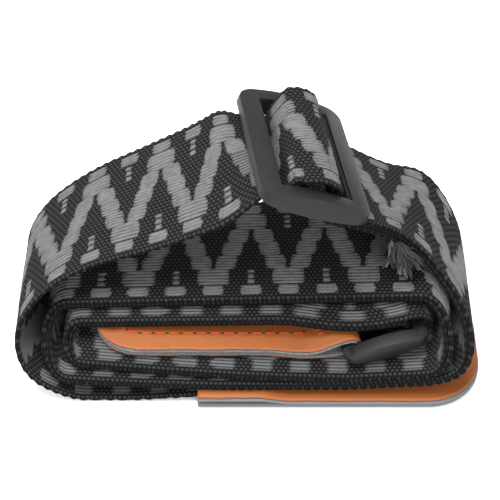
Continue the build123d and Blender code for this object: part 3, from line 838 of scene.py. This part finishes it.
# %% End tab
LEFT_X, RIGHT_X, HALF = -19.0, 84.7, 28.0
HOLE_AT, HOLE_RADIUS = (62, 28, 2), 3.75
SLIT_LONG, SLIT_WIDE, SLIT_SHIFT = 12.3, 1.1, 7.8


def at_front(x, z):
    return np.zeros(len(x))


def straight_across(x, z):
    return turned(np.zeros(len(x)), np.zeros(len(x)))


def flat_line(points):
    path = np.vstack([straight(a, b) for a, b in zip(points, points[1:])])
    return line_of(path, path, at_front, straight_across, HALF)


def end_squeeze(line, out=0.0):
    def share(s):
        x = np.interp(s, line["s"], line["middle"][:, 0])
        inside = np.clip(x - (RIGHT_X + out - 20), 0, 20)
        return 1 - (20 - np.sqrt(400 - inside**2)) / HALF

    return share


def end_layer(name, low, high, thick, width, finish, relief=None, reach=0.0):
    step_down = [(5, high), (14, low)] if high > low else []
    points = [(LEFT_X, high)] + step_down + [(RIGHT_X + reach, low)]
    line = flat_line(points)
    last = line["s"][-1]
    places = np.unique(np.r_[stations(line, [(last - 20, 1.2), (last, 0.4)]), last - np.arange(0, 3, 0.15)])
    shape = outline(width, thick, 100, 40)
    return strip(name, line, places, shape, finish, relief, end_squeeze(line, reach)), line


def end_relief(s, v, face):
    seam = np.exp(-((HALF - np.abs(v) - SEAM_IN) ** 2) / 0.9)
    wave = 0.1 * np.sin(s * 0.27) + 0.07 * np.sin(s * 0.71 + 2)
    return wave * np.sign(v) * ease(np.abs(v), 24, 28), -0.12 * seam * np.maximum(face, 0)


underlay, _ = end_layer("end_tab_underlay_piece", 0.9, 0.9, 1.8, 56, FELT)
backing, _ = end_layer("end_tab_backing_piece", 2.5, 4.2, 1.2, 56.4, FELT)
cover, cover_line = end_layer("end_tab_leather_piece", 3.75, 5.45, 1.2, 55.2, LEATHER, end_relief, -0.5)


def cut_button_hole(piece):
    """A round hole and a slit towards the strap, through one layer."""
    cutter = bpy.data.meshes.new("hole")
    shape = bmesh.new()
    at = (np.array(HOLE_AT) - CENTRE) / 1000
    radius = HOLE_RADIUS / 1000
    bmesh.ops.create_cone(shape, cap_ends=True, segments=48, radius1=radius, radius2=radius, depth=0.02)
    bmesh.ops.translate(shape, vec=Vector(at), verts=shape.verts)
    slit = bmesh.ops.create_cube(shape, size=1)["verts"]
    bmesh.ops.scale(shape, vec=(SLIT_LONG / 1000, SLIT_WIDE / 1000, 0.02), verts=slit)
    bmesh.ops.translate(shape, vec=Vector(at) - Vector((SLIT_SHIFT / 1000, 0, 0)), verts=slit)
    shape.to_mesh(cutter)
    tool = bpy.data.objects.new("hole", cutter)
    bpy.context.scene.collection.objects.link(tool)
    cut = piece.modifiers.new("hole", "BOOLEAN")
    cut.operation, cut.object, cut.solver, cut.use_self = "DIFFERENCE", tool, "EXACT", True
    done = bpy.data.meshes.new_from_object(piece.evaluated_get(bpy.context.evaluated_depsgraph_get()))
    piece.modifiers.clear()
    piece.data = done
    bpy.data.objects.remove(tool)


for layer in (underlay, backing, cover):
    cut_button_hole(layer)

# %% [markdown]
# ## Stitches
# Each seam is a row of thick waxed stitches, five millimetres apart, that lie slightly proud of
# the leather. Small dark discs between them are painted shade where the needle holes are.


# %% Stitches
def seam_path(x_from, x_end, low, high, radius):
    """Out along one side, round the end and back, as places in the XY plane."""
    sign = 1 if x_end > x_from else -1
    t = np.linspace(0, math.pi / 2, 24)
    first = np.stack([x_end - sign * radius * (1 - np.sin(t)), low + radius * (1 - np.cos(t))], 1)
    second = np.stack([x_end - sign * radius * (1 - np.cos(t)), high - radius * (1 - np.sin(t))], 1)
    return np.vstack([[(x_from, low)], first, second, [(x_from, high)]])


def stitch_row(name, path, level, pitch=5.0, long=3.9, clear=0.10):
    gaps = np.r_[0, np.cumsum(np.linalg.norm(np.diff(path, axis=0), axis=1))]
    count = int(gaps[-1] / pitch)
    at = (np.arange(count) + 0.5) * gaps[-1] / count
    ahead = at + 0.2
    x, y = np.interp(at, gaps, path[:, 0]), np.interp(at, gaps, path[:, 1])
    turn = np.arctan2(np.interp(ahead, gaps, path[:, 1]) - y, np.interp(ahead, gaps, path[:, 0]) - x)
    slope = -np.arctan((level(x + 0.5) - level(x - 0.5)) * np.cos(turn))
    points = np.stack([x, y, level(x) + clear], 1)
    turns = np.stack([np.zeros(count), slope, turn + rng.normal(0, 0.05, count)], 1)
    mesh = yarns(name, points, long + rng.normal(0, 0.15, count), turns, 0.95, 0.75, ORANGE_THREAD)
    places = coords(mesh)
    set_cloth(mesh, places * 2)
    move_to(mesh, places)
    row = new_object(name, mesh, ORANGE_THREAD)
    # dark discs at both ends of each stitch: painted shade standing in for the needle holes
    hole_shade_at = np.r_[at - long / 2 - 0.25, at + long / 2 + 0.25]
    x, y = np.interp(hole_shade_at, gaps, path[:, 0]), np.interp(hole_shade_at, gaps, path[:, 1])
    points = np.stack([x, y, level(x) + 0.01], 1)
    flat = np.zeros((len(x), 3))
    mesh = yarns(name + "_hole_shade", points, np.full(len(x), 0.9), flat, 0.8, 0.2, BLACK_YARN)
    places = coords(mesh)
    set_cloth(mesh, places * 2)
    move_to(mesh, places)
    return row, new_object(name + "_hole_shade", mesh, BLACK_YARN)


tab_order = leather_line["middle"][:, 2] > 16.5
tab_order &= leather_line["middle"][:, 0] < 34


def ring_tab_level(x):
    upper = leather_line["middle"][tab_order]
    return np.interp(x, upper[:, 0], upper[:, 2]) + 0.36


def end_tab_level(x):
    order = np.argsort(cover_line["middle"][:, 0])
    return np.interp(x, cover_line["middle"][order, 0], cover_line["middle"][order, 2]) + 0.5


ring_seam, ring_hole_shade = stitch_row(
    "ring_tab_seam",
    seam_path(20, TIP_X + SEAM_IN, 12.6 + SEAM_IN, 62.6 - SEAM_IN, 10),
    ring_tab_level,
)
end_seam, end_hole_shade = stitch_row(
    "end_tab_seam",
    seam_path(-17, RIGHT_X - SEAM_IN, SEAM_IN, 2 * HALF - SEAM_IN, 13),
    end_tab_level,
)

tack_x = 22.2
count = 22
offsets = np.linspace(-18, 18, count)
yaw = math.radians(RING_YAW * float(ease(tack_x, 6, 26)))
front = float(tab_front(np.array([tack_x]), 0)[0]) + 25
tack_z = float(ring_tab_level(tack_x)) + 0.2
points = np.stack(
    [tack_x - np.sin(yaw) * offsets, front + np.cos(yaw) * offsets, np.full(count, tack_z)], 1
)
turns = np.stack([np.zeros(count), np.full(count, -0.24), np.full(count, yaw)], 1)
mesh = yarns("ring_tab_tack", points, np.full(count, 2.6), turns, 1.5, 0.9, ORANGE_THREAD)
places = coords(mesh)
set_cloth(mesh, places * 2)
move_to(mesh, places)
ring_tack = new_object("ring_tab_tack", mesh, ORANGE_THREAD)

# %% [markdown]
# ## The raw end
# The webbing's end, folded back under the slider, was never bound. Its warp yarns have come
# loose and stand out in all directions.

# %% Loose threads
def loose(name, count, middle, spread, droop, long, thick, finish):
    """Threads that leave the raw end near one place across it, and hang over its edge."""
    across = np.clip(rng.normal(middle, spread, count), -25, 25)
    end = np.full(count, tail_end["s"][-1])
    base = laid(tail_end, end - rng.uniform(0, 6, count), across, rng.uniform(-0.6, 0.6, count))
    size = rng.uniform(*long, count)
    yaw, pitch = rng.normal(-0.9, 0.6, count), rng.normal(droop, 0.4, count)
    reach = np.stack([np.cos(yaw) * np.cos(pitch), np.sin(yaw) * np.cos(pitch), -np.sin(pitch)], 1)
    turns = np.stack([np.zeros(count), pitch, yaw], 1)
    mesh = yarns(name, base + reach * size[:, None] * 0.42, size, turns, thick, thick, finish)
    places = coords(mesh)
    set_cloth(mesh, places * 2)
    move_to(mesh, places + 0.35 * np.sin(places[:, [1, 2, 0]] * 1.3))
    return new_object(name, mesh, finish)


frayed = loose("frayed_black_threads", 200, -22, 3, 1.0, (7, 14), 1.1, BLACK_YARN)
frayed_grey = loose("frayed_grey_threads", 36, -23, 2, 1.1, (9, 15), 1.7, GREY_YARN)
selvedge_fuzz = loose("frayed_edge_threads", 260, 0, 16, 0.6, (2, 5), 0.4, BLACK_YARN)

# %% [markdown]
# ## Slider and ring
# Both are moulded frames. We take their bodies from the design and round every edge, because a
# mould can't make a perfectly sharp one.


# %% Moulded frames
def moulded(name, cad_node, rounding):
    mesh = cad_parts[cad_node].data.copy()
    mesh.name = name
    piece = new_object(name, mesh, NYLON)
    piece.matrix_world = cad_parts[cad_node].matrix_world
    shape = bmesh.new()
    shape.from_mesh(mesh)
    bmesh.ops.remove_doubles(shape, verts=shape.verts, dist=1e-6)
    bmesh.ops.dissolve_limit(shape, angle_limit=math.radians(1), verts=shape.verts, edges=shape.edges)
    shape.to_mesh(mesh)
    mesh.transform(piece.matrix_world)
    piece.matrix_world.identity()
    bevel = piece.modifiers.new("rounding", "BEVEL")
    bevel.width, bevel.segments, bevel.limit_method = rounding, 3, "ANGLE"
    bevel.angle_limit = math.radians(28)
    done = bpy.data.meshes.new_from_object(piece.evaluated_get(bpy.context.evaluated_depsgraph_get()))
    piece.modifiers.clear()
    piece.data = done
    return piece


slider_piece = moulded("slider_piece", "slider_frame", 0.0005)
ring_piece = moulded("ring_piece", "ring_frame", 0.0004)

# %% [markdown]
# ## Who stands for what, and what moves
# Every piece stands for a node of the design and rides on its body, so the slider and ring can
# move in their loops.

# %% Roles
roles = [
    (arch_piece, "strap", "webbing", ["webbing_single_run"]),
    (pass_piece, "strap", "webbing", ["webbing_slider_pass"]),
    (outer_piece, "strap", "webbing", ["webbing_outer_ply"]),
    (inner_piece, "strap", "webbing", ["webbing_inner_ply"]),
    (tail_piece, "strap", "webbing", ["webbing_tail_end"]),
    (arch_floats, "strap", "webbing", []),
    (pass_floats, "strap", "webbing", []),
    (outer_floats, "strap", "webbing", []),
    (frayed, "strap", "webbing", []),
    (frayed_grey, "strap", "webbing", []),
    (selvedge_fuzz, "strap", "webbing", []),
    (ring_leather, "strap", "tan_leather", ["ring_tab_leather"]),
    (ring_felt, "strap", "grey_felt", ["ring_tab_felt"]),
    (ring_seam, "strap", "orange_thread", ["ring_tab_stitching"]),
    (ring_hole_shade, "strap", "orange_thread", []),
    (ring_tack, "strap", "orange_thread", ["ring_tab_bar_tack"]),
    (underlay, "strap", "grey_felt", ["end_tab_underlay"]),
    (backing, "strap", "grey_felt", ["end_tab_backing"]),
    (cover, "strap", "tan_leather", ["end_tab_leather"]),
    (end_seam, "strap", "orange_thread", ["end_tab_stitching"]),
    (end_hole_shade, "strap", "orange_thread", []),
    (slider_piece, "slider", "moulded_black", ["slider_frame"]),
    (ring_piece, "ring", "moulded_black", ["ring_frame"]),
]
for piece, body, slot, nodes in roles:
    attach(piece, body)
    if nodes:
        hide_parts(*nodes)
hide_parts("webbing_tail_loop")
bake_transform(loop_piece)
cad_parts["tail_stitching"].material_slots[0].material = BLACK_YARN

# %% [markdown]
# ## Table, light and camera
# A pale table and large soft lamps, as in a small photo studio. The camera looks down on the
# open front side of the coil.

# %% Stage
bpy.ops.mesh.primitive_plane_add(size=4, location=(0, 0, -0.0001))
table = bpy.context.object
table.name = "table_top"
paper, tree = material("pale_paper_matte")
where = node(tree, "ShaderNodeTexCoord").outputs["Object"]
tone = noise(tree, where, 40.0, 3.0)
surface(tree, blend_of(tree, tone, colour("#F7F7F7"), colour("#FBFBFB")), 0.8, tone, 0.02)
table.data.materials.append(paper)


def lamp(name, place, aim, size, watts):
    light = bpy.data.lights.new(name, "AREA")
    light.shape, light.size, light.size_y, light.energy = "RECTANGLE", size, size * 0.7, watts
    thing = bpy.data.objects.new(name, light)
    bpy.context.scene.collection.objects.link(thing)
    thing.location = place
    thing.rotation_euler = (Vector(aim) - Vector(place)).to_track_quat("-Z", "Y").to_euler()


lamp("soft_box_above", (-0.15, 0.1, 0.9), (0, 0, 0), 0.7, 15)
lamp("soft_box_front", (0.25, -0.8, 0.55), (0, 0, 0.03), 0.6, 7)
lamp("soft_box_left", (-0.8, -0.1, 0.4), (0, 0, 0.03), 0.5, 3)
world = bpy.data.worlds.new("studio_air")
bpy.context.scene.world = world
world.use_nodes = True
world.node_tree.nodes["Background"].inputs[0].default_value = colour("#F2F3F5")
world.node_tree.nodes["Background"].inputs[1].default_value = 0.8
bpy.context.scene.view_settings.view_transform = "Standard"

aim = Vector((0.147, -1.54, 36)) / 1000
elevation, distance = math.radians(47), 0.55
camera = bpy.data.objects.new("camera", bpy.data.cameras.new("camera"))
bpy.context.scene.collection.objects.link(camera)
camera.location = aim + Vector((0, -math.cos(elevation), math.sin(elevation))) * distance
camera.rotation_euler = (aim - camera.location).to_track_quat("-Z", "Y").to_euler()
camera.data.lens, camera.data.sensor_width = 108, 36
camera.data.clip_start = 0.01
bpy.context.scene.camera = camera
